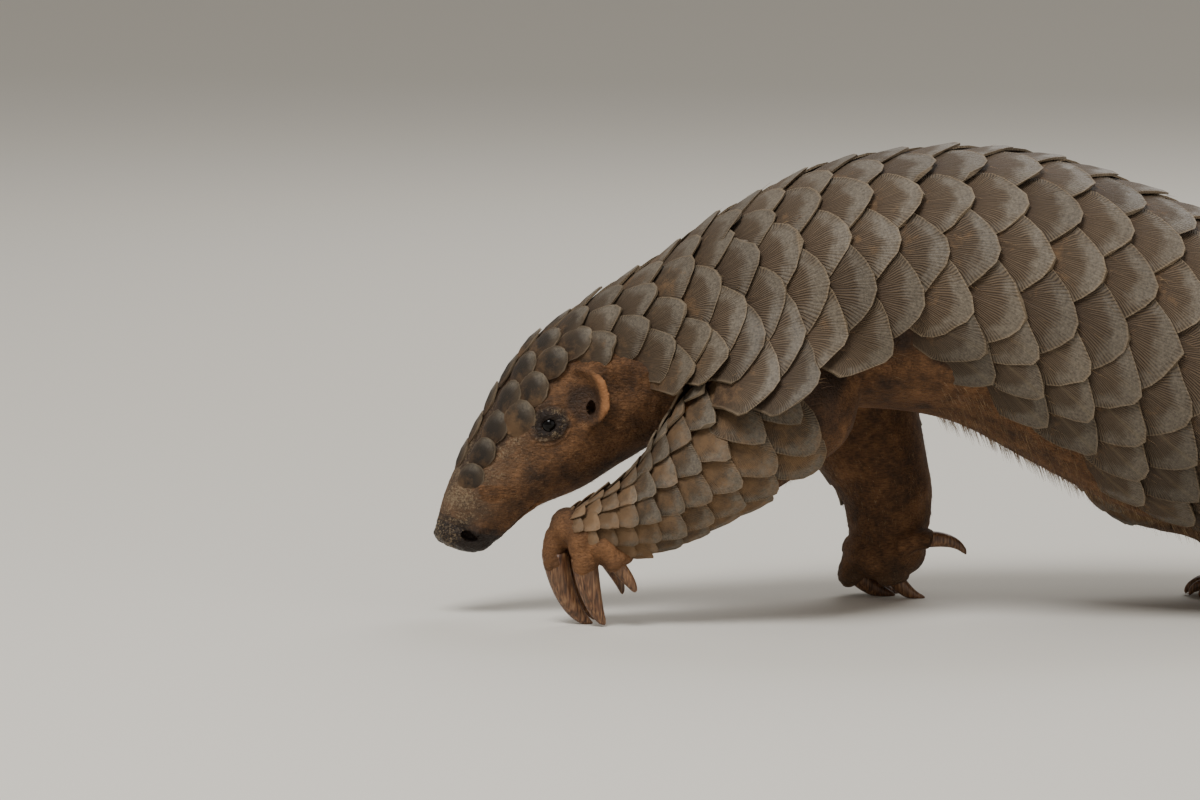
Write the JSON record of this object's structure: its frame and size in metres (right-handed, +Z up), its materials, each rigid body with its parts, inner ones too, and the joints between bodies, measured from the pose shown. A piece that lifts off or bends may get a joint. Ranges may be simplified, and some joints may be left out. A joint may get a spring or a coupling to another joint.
{
  "type": "pangolin model",
  "caption": "Still life-size model of a scaly pangolin walking with its head lowered, low arched back, digging claws and a broad flat tail resting on the floor.",
  "frame": {"origin": "middle of the floor under the animal's outer box", "axes": "+Z up, the animal faces -X, its left side is at -Y"},
  "size_m": [0.692, 0.1584, 0.206],
  "materials": {
    "scales": "horn scales, grey brown with a dull sheen, dusty and finely ridged",
    "skin": "bare reddish brown skin with fine wrinkles and sparse short hair",
    "claw": "brown horn, worn and slightly striped along its length",
    "eye": "wet glossy near black"
  },
  "bodies": {
    "root": {"head": "scales", "neck": "scales", "chest": "scales", "torso": "scales", "tail_root": "scales", "tail_middle": "scales", "tail_end": "scales", "foreleg_left": "scales", "foreleg_right": "scales", "hindleg_left": "scales", "hindleg_right": "scales", "forefoot_left": "skin", "forefoot_right": "skin", "hindfoot_left": "skin", "hindfoot_right": "skin", "ear_left": "skin", "ear_right": "skin", "eye_left": "eye", "eye_right": "eye", "claw_forefoot_left_first": "claw", "claw_forefoot_left_second": "claw", "claw_forefoot_left_third": "claw", "claw_forefoot_left_fourth": "claw", "claw_forefoot_left_fifth": "claw", "claw_forefoot_right_first": "claw", "claw_forefoot_right_second": "claw", "claw_forefoot_right_third": "claw", "claw_forefoot_right_fourth": "claw", "claw_forefoot_right_fifth": "claw", "claw_hindfoot_left_first": "claw", "claw_hindfoot_left_second": "claw", "claw_hindfoot_left_third": "claw", "claw_hindfoot_left_fourth": "claw", "claw_hindfoot_left_fifth": "claw", "claw_hindfoot_right_first": "claw", "claw_hindfoot_right_second": "claw", "claw_hindfoot_right_third": "claw", "claw_hindfoot_right_fourth": "claw", "claw_hindfoot_right_fifth": "claw"}
  },
  "joints": []
}
